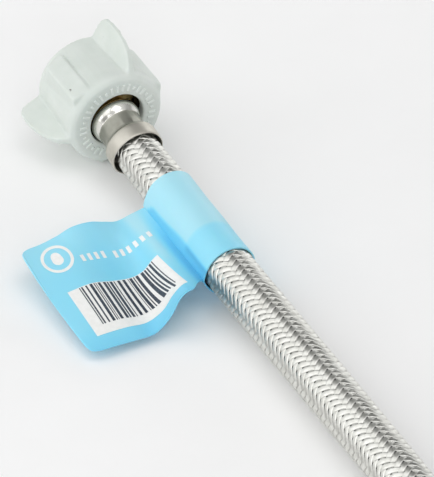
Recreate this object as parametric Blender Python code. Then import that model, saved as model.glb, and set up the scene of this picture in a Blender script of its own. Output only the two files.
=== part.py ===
"""Braided toilet supply line: wing nut, crimped ferrules, layered hose, hex nut and label.

Built in millimetres in its own frame: x runs from the mouth of the wing nut to the mouth
of the hex nut, z is the height above the surface that the line lies on. Everything hangs
under one empty, which puts the middle of its footprint at the world's origin. The loose
wing nut lies level; the stem inside it slopes down towards the hose.
"""
import math

import bmesh
import bpy
from mathutils import Matrix, Vector

MM = 0.001
GAP = 0.3                       # clearance between pieces that touch

# Whole line
LENGTH = 304.8                  # 12 in, mouth of one nut to mouth of the other
AXIS_B = 7.94                   # half of the hex nut's 15.88 mm across flats
ROUND = 28                      # sides of a turned piece

# Hose: radii of its layers, and how far the ferrules squeeze them
BRAID_RADIUS = 7.05
BRAID_WALL = 0.55
YARN_WALL = 0.35
TUBE_BORE = 3.3
CRIMP_RADIUS = 5.3              # braid radius inside a crimped barrel
HOSE_END = LENGTH - 17.7
HOSE_SIDES = 16
CRIMPED_LENGTH = 8.3            # hose length that a barrel squeezes
FLARE_LENGTH = 8.0              # past that it grows quickly at first
RELEASE_LENGTH = 60.0           # and is back to full size here
SLOW_GROWTH = 0.8               # radius regained along the slow part

# Wing nut: it lies level on the surface, a little to one side, and the stem in it points
# down towards the hose
NUT_A_AXIS = 15.22
NUT_A_Y = 0.4
NUT_A_LENGTH = 22.2
NUT_A_HOLE = 8.0
NUT_A_WALL = 2.45
NUT_A_SOCKET = 11.15            # radius at the root of the 7/8-14 thread
NUT_A_RADIUS = 12.7
NUT_A_DRAFT = 1.3               # growth of the radius towards the end face
NUT_A_EDGE = 2.0                # rounding of the end face's rim
WING_ANGLES = (69.0, 194.0, 314.0)
WING_ROOT = 2.9                 # thickness where a wing leaves the body
WING_CREST = 1.2
WING_TIP_RADIUS = 20.15
PAD_ANGLES = (11.0, 131.0, 247.0)
PAD_START = 3.0
PAD_END = 20.2
PAD_SECTION = (                 # (degrees from the pad's middle, radius)
    (-10.0, 12.0), (-10.0, 14.0), (-8.6, 14.3), (9.0, 15.5), (10.5, 15.6),
    (12.5, 15.3), (27.0, 13.1), (27.0, 12.0),
)
THREAD_A_PITCH = 25.4 / 14
THREAD_A_DEPTH = 0.9
THREAD_A_TURNS = 6.0

# Stem, ring and washer of end A, and the ferrule behind them: all on one sloping axis,
# which crosses the nut's axis at the pivot; their stations are measured along it
STEM_SLOPE = 8.4                # degrees
STEM_PIVOT = 18.1
FLANGE_A = 9.3
FLANGE_A_START = 15.0
FLANGE_A_END = 16.85
RING_INNER = 7.9
RING_OUTER = 9.5
RING_START = 17.15
RING_END = 18.05
NECK_RADIUS = 5.2
STEM_BORE = 2.3
BARB_CREST = 3.0
BARB_FOOT = 2.75
SHANK_END = 33.4
WASHER_TIP = 9.0

# Ferrule, the same part at both ends; depths from its closed end
FERRULE_LENGTH = 15.2
FERRULE_BEAD = 7.0
FERRULE_BARREL = 6.1
FERRULE_COLLAR = 7.6
FERRULE_WALL = 0.5
FERRULE_A_FACE = 20.0
FERRULE_B_FACE = LENGTH - 16.5


def stem_axis(station):
    """(x, height) of a station on the sloping axis of end A."""
    slope = math.radians(STEM_SLOPE)
    along = station - STEM_PIVOT
    return STEM_PIVOT + along * math.cos(slope), NUT_A_AXIS - along * math.sin(slope)


# (x, height) of the hose's centre line: out along the stem's axis, down to the surface
ROUTE = (
    stem_axis(21.2), stem_axis(28.0), stem_axis(34.6), (41.0, 12.45), (48.0, 12.25),
    (56.0, 11.75), (64.0, 11.2), (72.0, 10.7), (80.0, 10.25), (90.0, 9.9),
    (100.0, 9.75), (115.0, 9.65), (135.0, 9.6), (160.0, 9.4), (185.0, 9.1),
    (210.0, 8.7), (235.0, 8.25), (252.0, 8.02), (266.0, 7.94), (287.1, 7.94),
)
HOSE_START = ROUTE[0][0]

# Hex nut of end B
NUT_B_LENGTH = 14.0
NUT_B_ACROSS_FLATS = 15.88
NUT_B_COLLAR = 6.9
NUT_B_SOCKET = 7.2              # radius at the root of the 9/16-24 thread
NUT_B_HOLE = 5.5
THREAD_B_PITCH = 25.4 / 24
THREAD_B_DEPTH = 0.55
THREAD_B_TURNS = 5.6
FLANGE_B = 6.2
NECK_B_RADIUS = 4.9

# Label
LOOP_START = 53.2
LOOP_END = 88.2
LABEL_SHEET = 0.2
LABEL_OFFSET = 0.55             # from the braid's surface to the label's
FOLD_Y = -8.0                   # the straight fold where the label's two ends meet
FOLD_Z = 9.7                    # its height halfway along the label
FOLD_SLOPE = -0.04              # it sinks towards the hose's far end, as the hose does
FLAG_START = 53.7
FLAG_NECK_END = 88.0
FLAG_END = 95.0
FLAG_THICKNESS = 0.4
FLAG_CORNER = 3.0
FLAG_REACH = 36.0               # from the fold to the free edge
FLAG_ROWS = 6
FLAG_COLUMNS = 18
FLAG_SECTIONS = (               # (y, z) of the wavy flag at its start, middle and end
    ((-8.5, 10.35), (-12.0, 9.4), (-16.4, 8.6), (-20.4, 9.9), (-24.9, 11.5), (-30.2, 11.7),
     (-34.6, 10.2), (-40.0, 9.1), (-46.0, 9.0)),
    ((-8.5, 9.7), (-12.4, 10.1), (-15.2, 8.8), (-18.0, 5.8), (-21.6, 4.5), (-27.2, 5.3),
     (-33.6, 7.0), (-40.0, 6.7), (-46.2, 5.8)),
    ((-8.5, 9.05), (-11.8, 12.0), (-15.2, 14.0), (-18.6, 12.3), (-21.6, 7.1), (-26.1, 3.2),
     (-32.0, 3.0), (-38.8, 3.4), (-45.5, 3.4)),
)


# ---------------------------------------------------------------- small tools

def lerp(a, b, t):
    return a + (b - a) * t


def smooth(t):
    """0 below 0, 1 above 1, with a soft start and end between them."""
    t = min(max(t, 0.0), 1.0)
    return t * t * (3.0 - 2.0 * t)


def material(name, colour, metallic, roughness):
    made = bpy.data.materials.new(name)
    made.use_nodes = True
    shader = made.node_tree.nodes["Principled BSDF"]
    shader.inputs["Base Color"].default_value = (*colour, 1.0)
    shader.inputs["Metallic"].default_value = metallic
    shader.inputs["Roughness"].default_value = roughness
    made.diffuse_color = (*colour, 1.0)
    return made


def make(name, mesh_data, place, parent, paint):
    """An object at a place given in millimetres."""
    made = bpy.data.objects.new(name, mesh_data)
    bpy.context.collection.objects.link(made)
    made.location = Vector(place) * MM
    made.parent = parent
    if paint:
        mesh_data.materials.append(paint)
    return made


def close_mesh(name, shape, sharp=35.0):
    """A bmesh in millimetres becomes a mesh in metres, faces out, smooth where round."""
    bmesh.ops.scale(shape, vec=(MM, MM, MM), verts=shape.verts)
    bmesh.ops.recalc_face_normals(shape, faces=shape.faces)
    mesh = bpy.data.meshes.new(name)
    shape.to_mesh(mesh)
    shape.free()
    mesh.shade_smooth()
    mesh.set_sharp_from_angle(angle=math.radians(sharp))
    return mesh


def turned(name, outline, sides=ROUND, first=0.0):
    """A closed (x, radius) outline spun round the X axis."""
    shape = bmesh.new()
    start = Matrix.Rotation(first, 3, "X")
    ring = [shape.verts.new(start @ Vector((x, radius, 0.0))) for x, radius in outline]
    edges = [shape.edges.new((ring[i - 1], ring[i])) for i in range(len(ring))
             if outline[i - 1][1] > 0 or outline[i][1] > 0]
    bmesh.ops.spin(shape, geom=ring + edges, cent=(0, 0, 0), axis=(1, 0, 0),
                   angle=math.tau, steps=sides, use_merge=True)
    bmesh.ops.remove_doubles(shape, verts=shape.verts, dist=0.0001)
    return close_mesh(name, shape)


def prism(name, outline, lift):
    """A closed body between the two copies of an outline that lift() returns."""
    shape = bmesh.new()
    pairs = [[shape.verts.new(p) for p in lift(*point)] for point in outline]
    for i in range(len(pairs)):
        shape.faces.new((pairs[i - 1][0], pairs[i][0], pairs[i][1], pairs[i - 1][1]))
    shape.faces.new([low for low, high in pairs])
    shape.faces.new([high for low, high in pairs])
    return close_mesh(name, shape)


def thread_ridge(name, root, depth, pitch, turns, start, steps):
    """One helical ridge that stands inward from a socket's wall, closed at both ends."""
    shape = bmesh.new()
    sections = []
    count = int(turns * steps)
    for i in range(count + 1):
        angle = math.tau * i / steps
        x = start + pitch * i / steps
        fade = smooth(min(i, count - i) / (0.6 * steps))
        crest = root - lerp(0.05, depth, fade)
        section = []
        for dx, radius in ((-0.42 * pitch, root + 0.25), (-0.08 * pitch, crest),
                           (0.08 * pitch, crest), (0.42 * pitch, root + 0.25)):
            section.append(shape.verts.new(
                (x + dx, radius * math.cos(angle), radius * math.sin(angle))))
        sections.append(section)
    for near, far in zip(sections, sections[1:]):
        for j in range(4):
            shape.faces.new((near[j - 1], near[j], far[j], far[j - 1]))
    shape.faces.new(sections[0])
    shape.faces.new(sections[-1])
    return close_mesh(name, shape)


def combine(target, tool, operation="UNION"):
    """Joins or cuts with a tool object, which itself isn't part of the line."""
    tool.hide_render = True
    tool.display_type = "WIRE"
    boolean = target.modifiers.new(tool.name, "BOOLEAN")
    boolean.operation = operation
    boolean.object = tool


# ---------------------------------------------------------------- end A

def wing_outline():
    """Leaf-shaped wing: a steep edge at the mouth, a round one towards the end face."""
    crest = [(2.4, 19.75), (5.5, WING_TIP_RADIUS), (9.0, WING_TIP_RADIUS), (12.8, 19.5)]
    front = [(15.8, 18.5), (18.4, 17.0), (20.3, 15.0), (21.5, 13.2), (21.6, 12.0)]
    return [(0.4, 12.0), (0.6, 15.2), (1.2, 18.4)] + crest + front


def wing_pair(x, radius):
    """The two sides of a wing at one point of its outline."""
    share = (radius - NUT_A_RADIUS) / (WING_TIP_RADIUS - NUT_A_RADIUS)
    half = 0.5 * lerp(WING_ROOT, WING_CREST, smooth(share))
    return (x, radius, -half), (x, radius, half)


def pad_outline():
    """Cross-section of a grip pad: steep on one side, gentle on the other."""
    return [(radius * math.cos(math.radians(angle)), radius * math.sin(math.radians(angle)))
            for angle, radius in PAD_SECTION]


def ballcock_nut(parent, paint):
    edge = [
        (NUT_A_LENGTH - NUT_A_EDGE + NUT_A_EDGE * math.sin(a),
         NUT_A_RADIUS + NUT_A_DRAFT - NUT_A_EDGE + NUT_A_EDGE * math.cos(a))
        for a in (math.radians(d) for d in (0, 22, 45, 68, 90))
    ]
    outline = [(0.0, NUT_A_RADIUS - 0.4), (0.4, NUT_A_RADIUS)] + edge + [
        (NUT_A_LENGTH, NUT_A_HOLE + 0.3), (NUT_A_LENGTH - 0.3, NUT_A_HOLE),
        (NUT_A_LENGTH - NUT_A_WALL, NUT_A_HOLE), (NUT_A_LENGTH - NUT_A_WALL, 10.4), (13.4, 10.4),
        (12.8, NUT_A_SOCKET), (0.9, NUT_A_SOCKET), (0.0, NUT_A_SOCKET + 0.5)]
    place = (0, NUT_A_Y, NUT_A_AXIS)
    nut = make("ballcock_nut", turned("ballcock_nut", outline, 40), place, parent, paint)
    wing = prism("wing", wing_outline(), wing_pair)
    pad = prism("pad", pad_outline(), lambda y, z: ((PAD_START, y, z), (PAD_END, y, z)))
    ridge = thread_ridge("ridge_a", NUT_A_SOCKET, THREAD_A_DEPTH, THREAD_A_PITCH,
                         THREAD_A_TURNS, 1.6, 16)
    for number, angle in enumerate(WING_ANGLES):
        tool = make(f"wing_{number}", wing, (0, 0, 0), nut, None)
        tool.rotation_euler.x = math.radians(angle)
        combine(nut, tool)
    for number, angle in enumerate(PAD_ANGLES):
        tool = make(f"pad_{number}", pad, (0, 0, 0), nut, None)
        tool.rotation_euler.x = math.radians(angle)
        combine(nut, tool)
    combine(nut, make("ridge_a", ridge, (0, 0, 0), nut, None))
    return nut


def ballcock_stem(parent, paint):
    """Flange behind the washer, neck through the nut, barbed shank inside the hose."""
    shank = []
    for barb in range(3):
        x = HOSE_START + 1.2 + 3.6 * barb
        shank += [(x, BARB_CREST), (x + 2.9, BARB_FOOT)]
    outline = [
        (FLANGE_A_START, STEM_BORE), (FLANGE_A_START, FLANGE_A - 0.3),
        (FLANGE_A_START + 0.3, FLANGE_A), (FLANGE_A_END - 0.3, FLANGE_A),
        (FLANGE_A_END, FLANGE_A - 0.3), (FLANGE_A_END, NECK_RADIUS),
        (HOSE_START - GAP, NECK_RADIUS), (HOSE_START - GAP, BARB_FOOT)]
    outline += shank + [(SHANK_END, BARB_FOOT), (SHANK_END, STEM_BORE)]
    return make("ballcock_stem", turned("ballcock_stem", outline, 24), (-STEM_PIVOT, 0, 0),
                parent, paint)


def slip_ring(parent, paint):
    outline = [(RING_START, RING_INNER), (RING_START, RING_OUTER),
               (RING_END, RING_OUTER), (RING_END, RING_INNER)]
    return make("slip_ring", turned("slip_ring", outline), (-STEM_PIVOT, 0, 0), parent,
                paint)


def cone_washer(parent, paint):
    base = FLANGE_A_START - GAP
    outline = [(WASHER_TIP, STEM_BORE), (WASHER_TIP, 5.6), (WASHER_TIP + 0.5, 6.1),
               (base - 1.6, 8.9), (base - 1.2, 9.3), (base, 9.3), (base, STEM_BORE)]
    return make("cone_washer", turned("cone_washer", outline, 24), (-STEM_PIVOT, 0, 0),
                parent, paint)


# ---------------------------------------------------------------- ferrules

def ferrule_outline(neck):
    """Depth and radius, from the closed end: bead, crimped barrel, flared collar."""
    wall = FERRULE_WALL
    outer = [
        (0.0, FERRULE_BEAD - 1.1), (0.35, FERRULE_BEAD - 0.4), (1.3, FERRULE_BEAD),
        (2.4, FERRULE_BEAD - 0.08), (3.7, FERRULE_BEAD - 0.5), (4.5, FERRULE_BARREL),
        (9.5, FERRULE_BARREL), (10.1, FERRULE_COLLAR - 0.4), (10.8, FERRULE_COLLAR),
        (FERRULE_LENGTH - 0.2, FERRULE_COLLAR), (FERRULE_LENGTH, FERRULE_COLLAR - 0.2)]
    inner = [
        (FERRULE_LENGTH, FERRULE_COLLAR - wall), (10.9, FERRULE_COLLAR - wall),
        (9.7, FERRULE_BARREL - wall), (0.9, FERRULE_BARREL - wall),
        (0.9, neck + GAP), (0.0, neck + GAP)]
    return outer + inner


def ferrule(name, neck, place, turn, parent, paint):
    mesh = turned(name, ferrule_outline(neck))
    made = make(name, mesh, place, parent, paint)
    made.rotation_euler.z = turn
    return made


# ---------------------------------------------------------------- end B

def compression_nut(parent, paint):
    """Hex nut with a round collar behind, turned corners and a chamfered mouth."""
    back = LENGTH - NUT_B_LENGTH
    place = (back, 0, AXIS_B)
    corner = NUT_B_ACROSS_FLATS / math.sqrt(3)
    hexagon = [(corner * math.cos(math.radians(60 * i)), corner * math.sin(math.radians(60 * i)))
               for i in range(6)]
    body = prism("compression_nut", hexagon,
                 lambda y, z: ((2.9, y, z), (NUT_B_LENGTH, y, z)))
    nut = make("compression_nut", body, place, parent, paint)
    envelope = turned("corner_turning", [
        (2.0, 0.0), (2.0, 7.5), (2.9, 8.35), (3.6, 9.3), (NUT_B_LENGTH - 0.7, 9.3),
        (NUT_B_LENGTH + 0.05, 8.3), (NUT_B_LENGTH + 0.05, 0.0)])
    collar = turned("nut_collar", [
        (0.0, 0.0), (0.0, NUT_B_COLLAR - 0.4), (0.4, NUT_B_COLLAR), (3.4, NUT_B_COLLAR),
        (3.4, 0.0)])
    socket = turned("nut_socket", [
        (2.0, 0.0), (2.0, 6.55), (6.0, 6.55), (6.6, NUT_B_SOCKET),
        (NUT_B_LENGTH - 0.6, NUT_B_SOCKET), (NUT_B_LENGTH + 0.1, NUT_B_SOCKET + 0.5),
        (NUT_B_LENGTH + 0.1, 0.0)])
    passage = turned("nut_passage", [
        (-0.1, 0.0), (-0.1, NUT_B_HOLE), (2.5, NUT_B_HOLE), (2.5, 0.0)])
    ridge = thread_ridge("ridge_b", NUT_B_SOCKET, THREAD_B_DEPTH, THREAD_B_PITCH,
                         THREAD_B_TURNS, 7.0, 14)
    for mesh, operation in ((envelope, "INTERSECT"), (collar, "UNION"),
                            (socket, "DIFFERENCE"), (passage, "DIFFERENCE"),
                            (ridge, "UNION")):
        combine(nut, make(mesh.name, mesh, (0, 0, 0), nut, None), operation)
    return nut


def compression_stem(parent, paint):
    back = LENGTH - NUT_B_LENGTH
    shank = []
    for barb in range(3):
        x = FERRULE_B_FACE - 2.7 - 3.6 * barb
        shank += [(x, BARB_CREST), (x - 2.9, BARB_FOOT)]
    outline = [
        (back + 4.1, STEM_BORE), (back + 4.1, FLANGE_B), (back + 2.3, FLANGE_B),
        (back + 2.3, NECK_B_RADIUS), (HOSE_END + GAP, NECK_B_RADIUS),
        (HOSE_END + GAP, BARB_FOOT)]
    outline += shank + [(HOSE_END - 12.2, BARB_FOOT), (HOSE_END - 12.2, STEM_BORE)]
    return make("compression_stem", turned("compression_stem", outline, 24),
                (0, 0, AXIS_B), parent, paint)


def compression_washer(parent, paint):
    base = LENGTH - NUT_B_LENGTH + 4.1 + GAP
    outline = [(base, STEM_BORE), (base, 6.2), (base + 1.2, 6.2), (base + 4.9, 4.6),
               (base + 5.3, 4.1), (base + 5.3, STEM_BORE)]
    return make("compression_washer", turned("compression_washer", outline, 24),
                (0, 0, AXIS_B), parent, paint)


# ---------------------------------------------------------------- hose

def route_height(x):
    """Height of the hose's centre line: a smooth curve through the route's points."""
    last = len(ROUTE) - 2
    i = next((k for k in range(last) if x < ROUTE[k + 1][0]), last)
    before, start = ROUTE[max(i - 1, 0)], ROUTE[i]
    end, after = ROUTE[i + 1], ROUTE[min(i + 2, last + 1)]
    span = end[0] - start[0]
    slope_in = (end[1] - before[1]) / (end[0] - before[0])
    slope_out = (after[1] - start[1]) / (after[0] - start[0])
    t = (x - start[0]) / span
    return (start[1] * (2 * t ** 3 - 3 * t ** 2 + 1) + end[1] * (3 * t ** 2 - 2 * t ** 3)
            + span * (slope_in * (t ** 3 - 2 * t ** 2 + t) + slope_out * (t ** 3 - t ** 2)))


def squeeze(x):
    """How much the ferrules reduce the braid's radius at a station."""
    past = max(0.0, min(x - HOSE_START, HOSE_END - x) - CRIMPED_LENGTH)
    quick = BRAID_RADIUS - CRIMP_RADIUS - SLOW_GROWTH
    return (quick * (1.0 - min(past / FLARE_LENGTH, 1.0)) ** 2
            + SLOW_GROWTH * (1.0 - min(past / RELEASE_LENGTH, 1.0)) ** 1.5)


def hose_stations():
    """Close together where the ferrules squeeze the hose, further apart in its middle."""
    steps = [0.0, CRIMPED_LENGTH, CRIMPED_LENGTH + 1.8, CRIMPED_LENGTH + 4,
             CRIMPED_LENGTH + FLARE_LENGTH, CRIMPED_LENGTH + 16]
    near = [HOSE_START + s for s in steps]
    far = [HOSE_END - s for s in reversed(steps)]
    middle = []
    x = near[-1] + 6.0
    while x < far[0] - 10.0:
        middle.append(x)
        x += 8.0 if x < LOOP_END else 26.0
    return near + middle + far


def hose_layer(name, outer, wall, parent, paint):
    """A tube along the route, open at both ends; without a wall its bore is constant."""
    shape = bmesh.new()
    rings = []
    for x in hose_stations():
        slope = math.atan((route_height(x + 0.5) - route_height(x - 0.5)))
        frame = Matrix.Rotation(-slope, 3, "Y")
        centre = Vector((x, 0, route_height(x)))
        pair = []
        skin = outer - squeeze(x)
        for radius in (skin, skin - wall if wall else TUBE_BORE):
            pair.append([shape.verts.new(centre + frame @ Vector(
                (0, radius * math.cos(a), radius * math.sin(a))))
                for a in (math.tau * k / HOSE_SIDES for k in range(HOSE_SIDES))])
        rings.append(pair)
    for near, far in zip(rings, rings[1:]):
        for side in (0, 1):
            for k in range(HOSE_SIDES):
                shape.faces.new((near[side][k - 1], near[side][k],
                                 far[side][k], far[side][k - 1]))
    for outer_ring, inner_ring in (rings[0], rings[-1]):
        for k in range(HOSE_SIDES):
            shape.faces.new((outer_ring[k - 1], outer_ring[k],
                             inner_ring[k], inner_ring[k - 1]))
    return make(name, close_mesh(name, shape), (0, 0, 0), parent, paint)


# ---------------------------------------------------------------- label

def label_loop(parent, paint):
    """The label's sheet round the hose, drawn to a pinch where its two ends meet."""
    shape = bmesh.new()
    columns = 6
    sides = 28
    grid = []
    for column in range(columns + 1):
        x = lerp(LOOP_START, LOOP_END, column / columns)
        centre = route_height(x)
        fold = FOLD_Z + FOLD_SLOPE * (x - 0.5 * (LOOP_START + LOOP_END)) - centre
        fold_angle = math.atan2(fold, FOLD_Y)
        fold_reach = math.hypot(fold, FOLD_Y)
        round_radius = BRAID_RADIUS - squeeze(x) + LABEL_OFFSET
        ring = []
        for k in range(sides):
            share = abs(2.0 * k / sides - 1.0)
            pull = max(0.0, (share - 0.8) / 0.2) ** 1.6
            radius = lerp(round_radius, fold_reach, pull)
            angle = fold_angle + math.tau * k / sides
            ring.append([shape.verts.new((x, r * math.cos(angle), centre + r * math.sin(angle)))
                         for r in (radius, radius - LABEL_SHEET)])
        grid.append(ring)
    for near, far in zip(grid, grid[1:]):
        for k in range(sides):
            for side in (0, 1):
                shape.faces.new((near[k - 1][side], near[k][side],
                                 far[k][side], far[k - 1][side]))
    for ring in (grid[0], grid[-1]):
        for k in range(sides):
            shape.faces.new((ring[k - 1][0], ring[k][0], ring[k][1], ring[k - 1][1]))
    return make("label_loop", close_mesh("label_loop", shape), (0, 0, 0), parent, paint)


def curve_point(points, t):
    """A point on the smooth curve through evenly numbered points, t from 0 to 1."""
    last = len(points) - 1
    i = min(int(t * last), last - 1)
    near = [Vector(points[min(max(k, 0), last)]) for k in (i - 1, i, i + 1, i + 2)]
    s = t * last - i
    slope_in, slope_out = (near[2] - near[0]) / 2, (near[3] - near[1]) / 2
    return (near[1] * (2 * s ** 3 - 3 * s ** 2 + 1) + near[2] * (3 * s ** 2 - 2 * s ** 3)
            + slope_in * (s ** 3 - 2 * s ** 2 + s) + slope_out * (s ** 3 - s ** 2))


def flag_point(along, out):
    """The flag's middle surface: a loft through its three sections, with shaped edges."""
    first, middle, last = (curve_point(section, out) for section in FLAG_SECTIONS)
    y, z = (first * (1 - along) * (1 - 2 * along) + middle * 4 * along * (1 - along)
            + last * along * (2 * along - 1))
    inset = (FLAG_END - FLAG_NECK_END) * (1.0 - smooth(out / 0.26))
    from_edge = max(0.0, 1.0 - out) * FLAG_REACH
    to_corner = max(0.0, 1.0 - from_edge / FLAG_CORNER)
    corner = FLAG_CORNER * (1.0 - math.sqrt(1.0 - to_corner ** 2))
    x = lerp(FLAG_START + corner, FLAG_END - inset - corner, along)
    return Vector((x, y, z))


def label_flag(parent, paint):
    """Two glued layers of the label, as one thin wavy sheet; it hinges on the fold."""
    hinge = Vector((0.5 * (LOOP_START + LOOP_END), FOLD_Y, FOLD_Z))
    shape = bmesh.new()
    skins = []
    for side in (0.5, -0.5):
        rows = []
        for row in range(FLAG_ROWS + 1):
            along = row / FLAG_ROWS
            cells = []
            for column in range(FLAG_COLUMNS + 1):
                out = column / FLAG_COLUMNS
                here = flag_point(along, out)
                ahead = flag_point(along, out + 0.002) - flag_point(along, out - 0.002)
                normal = Vector((0.0, ahead.z, -ahead.y)).normalized()
                cells.append(shape.verts.new(here + normal * side * FLAG_THICKNESS - hinge))
            rows.append(cells)
        skins.append(rows)
    for rows in skins:
        for near, far in zip(rows, rows[1:]):
            for c in range(FLAG_COLUMNS):
                shape.faces.new((near[c], near[c + 1], far[c + 1], far[c]))
    top, bottom = skins
    for row in (0, -1):
        for c in range(FLAG_COLUMNS):
            shape.faces.new((top[row][c], top[row][c + 1], bottom[row][c + 1], bottom[row][c]))
    for column in (0, -1):
        for r in range(FLAG_ROWS):
            shape.faces.new((top[r][column], top[r + 1][column],
                             bottom[r + 1][column], bottom[r][column]))
    return make("label_flag", close_mesh("label_flag", shape), hinge, parent, paint)


# ---------------------------------------------------------------- assembly

def centre_footprint(frame, pieces):
    """Moves the line so that the middle of its footprint is the origin, resting at z = 0."""
    bpy.context.view_layer.update()
    graph = bpy.context.evaluated_depsgraph_get()
    points = []
    for piece in pieces:
        solid = piece.evaluated_get(graph)
        points += [solid.matrix_world @ vertex.co for vertex in solid.data.vertices]
    middle = [(min(p[i] for p in points) + max(p[i] for p in points)) / 2 for i in (0, 1)]
    frame.location = (-middle[0], -middle[1], -min(p.z for p in points))


def main():
    for old in list(bpy.data.objects):
        bpy.data.objects.remove(old)
    frame = bpy.data.objects.new("line_frame", None)
    bpy.context.collection.objects.link(frame)
    stem_frame = bpy.data.objects.new("stem_frame", None)
    bpy.context.collection.objects.link(stem_frame)
    stem_frame.parent = frame
    stem_frame.location = Vector((STEM_PIVOT, 0, NUT_A_AXIS)) * MM
    stem_frame.rotation_euler.y = math.radians(STEM_SLOPE)

    plastic = material("nut_plastic", (0.68, 0.74, 0.70), 0.0, 0.45)
    brass = material("brass", (0.72, 0.55, 0.28), 1.0, 0.3)
    rubber = material("seal_rubber", (0.03, 0.03, 0.03), 0.0, 0.7)
    steel = material("ferrule_steel", (0.72, 0.69, 0.64), 1.0, 0.25)
    wire = material("braid_wire", (0.75, 0.74, 0.71), 1.0, 0.3)
    yarn = material("yarn", (0.85, 0.85, 0.82), 0.0, 0.8)
    tube = material("tube_polymer", (0.80, 0.80, 0.78), 0.0, 0.4)
    nickel = material("nickel", (0.78, 0.76, 0.72), 1.0, 0.15)
    film = material("label_film", (0.28, 0.68, 0.90), 0.0, 0.4)

    fittings = [
        ballcock_nut(frame, plastic),
        cone_washer(stem_frame, rubber),
        slip_ring(stem_frame, brass),
        ballcock_stem(stem_frame, brass),
        ferrule("ferrule_a", NECK_RADIUS, (FERRULE_A_FACE - STEM_PIVOT, 0, 0), 0.0,
                stem_frame, steel),
        ferrule("ferrule_b", NECK_B_RADIUS, (FERRULE_B_FACE, 0, AXIS_B), math.pi, frame, steel),
        compression_stem(frame, brass),
        compression_nut(frame, nickel),
        compression_washer(frame, rubber),
        label_loop(frame, film),
        label_flag(frame, film),
    ]
    yarn_radius = BRAID_RADIUS - BRAID_WALL - GAP
    tube_radius = yarn_radius - YARN_WALL - GAP
    hose_layer("braid_sleeve", BRAID_RADIUS, BRAID_WALL, frame, wire)
    hose_layer("yarn_layer", yarn_radius, YARN_WALL, frame, yarn)
    hose_layer("inner_tube", tube_radius, None, frame, tube)
    centre_footprint(frame, fittings)


main()
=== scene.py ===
"""Looks of the braided supply line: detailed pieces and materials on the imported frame.

Lengths are millimetres in the line's own stations: x from the wing nut's mouth, y across,
z above the surface. place() turns them into the frame's metres.
"""

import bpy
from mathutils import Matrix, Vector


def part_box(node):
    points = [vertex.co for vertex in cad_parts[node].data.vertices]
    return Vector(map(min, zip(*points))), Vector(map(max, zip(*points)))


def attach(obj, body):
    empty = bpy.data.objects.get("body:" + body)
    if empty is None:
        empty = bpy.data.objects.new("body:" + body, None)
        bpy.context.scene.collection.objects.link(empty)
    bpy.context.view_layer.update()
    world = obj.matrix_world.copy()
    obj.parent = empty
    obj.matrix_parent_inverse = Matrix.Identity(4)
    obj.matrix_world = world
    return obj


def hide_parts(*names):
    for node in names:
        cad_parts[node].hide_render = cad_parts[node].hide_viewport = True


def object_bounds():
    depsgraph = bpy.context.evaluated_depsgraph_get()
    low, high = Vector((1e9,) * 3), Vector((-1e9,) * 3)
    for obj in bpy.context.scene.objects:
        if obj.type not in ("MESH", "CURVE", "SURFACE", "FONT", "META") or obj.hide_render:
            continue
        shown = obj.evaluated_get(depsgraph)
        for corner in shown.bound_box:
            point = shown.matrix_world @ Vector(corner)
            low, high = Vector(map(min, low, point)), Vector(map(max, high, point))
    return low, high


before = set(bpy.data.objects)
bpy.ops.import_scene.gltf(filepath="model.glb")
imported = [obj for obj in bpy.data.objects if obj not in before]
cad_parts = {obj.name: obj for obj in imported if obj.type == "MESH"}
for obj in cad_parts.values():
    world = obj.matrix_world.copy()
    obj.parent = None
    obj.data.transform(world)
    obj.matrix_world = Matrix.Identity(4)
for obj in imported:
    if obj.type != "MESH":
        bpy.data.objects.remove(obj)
cad_box = [[float(c) for c in corner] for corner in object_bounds()]

import math

import bmesh
import bpy
import numpy as np
from mathutils import Matrix, Vector

MM = 0.001
hex_low, hex_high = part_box("compression_nut")
ORIGIN = Vector((cad_box[0][0], 0.5 * (hex_low[1] + hex_high[1]), cad_box[0][2]))

# The frame's sizes that pieces here follow
LENGTH = 304.8
AXIS_B = 7.94
NUT_A_AXIS = 15.22
NUT_A_Y = 0.4
NUT_A_LENGTH = 22.2
STEM_PIVOT = 18.1
STEM_SLOPE = math.radians(8.4)
FERRULE_A_FACE = 20.0
FERRULE_B_FACE = LENGTH - 16.5
NUT_B_LENGTH = 14.0
NECK_RADIUS = 5.2               # of the two stems, where they pass the ferrules' ends
NECK_B_RADIUS = 4.9
BRAID_RADIUS = 7.05
CRIMP_RADIUS = 5.3              # of the braid inside a crimped barrel
CRIMPED_LENGTH = 8.3
LATE_SWELL = 0.8                # what the braid's radius still gains far from a ferrule
HOSE_END = LENGTH - 17.7

# Camera: round the vertical from the line's side, and above the surface, in degrees
CAMERA_TURN = 62.2
CAMERA_HEIGHT = 38.7
LENS = 1500.0                   # so long that the view is nearly parallel
VIEW_HEIGHT = 128.92            # what the picture shows from top to bottom
VIEW_RIGHT = 37.23              # picture's middle, from the middle of the nut's mouth
VIEW_DOWN = 44.35
VIEW_NEAR = 15.0                # the same, towards the camera


def place(x, y, z):
    return ORIGIN + Vector((x, y, z)) * MM


def lerp(a, b, t):
    return a + (b - a) * t


def smooth(t):
    t = min(max(t, 0.0), 1.0)
    return t * t * (3.0 - 2.0 * t)


def stem_point(station):
    along = station - STEM_PIVOT
    return (STEM_PIVOT + along * math.cos(STEM_SLOPE),
            NUT_A_AXIS - along * math.sin(STEM_SLOPE))


# ---------------------------------------------------------------- hose line

# The hose's centre line as (station, height)
ROUTE = (
    stem_point(21.2), stem_point(28.0), stem_point(34.6), (41.0, 12.45), (48.0, 12.25),
    (56.0, 11.75), (64.0, 11.2), (72.0, 10.7), (80.0, 10.25), (90.0, 9.9),
    (100.0, 9.75), (115.0, 9.65), (135.0, 9.6), (160.0, 9.4), (185.0, 9.1),
    (210.0, 8.7), (235.0, 8.25), (252.0, 8.02), (266.0, 7.94), (287.1, 7.94),
)
HOSE_START = ROUTE[0][0]


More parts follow.
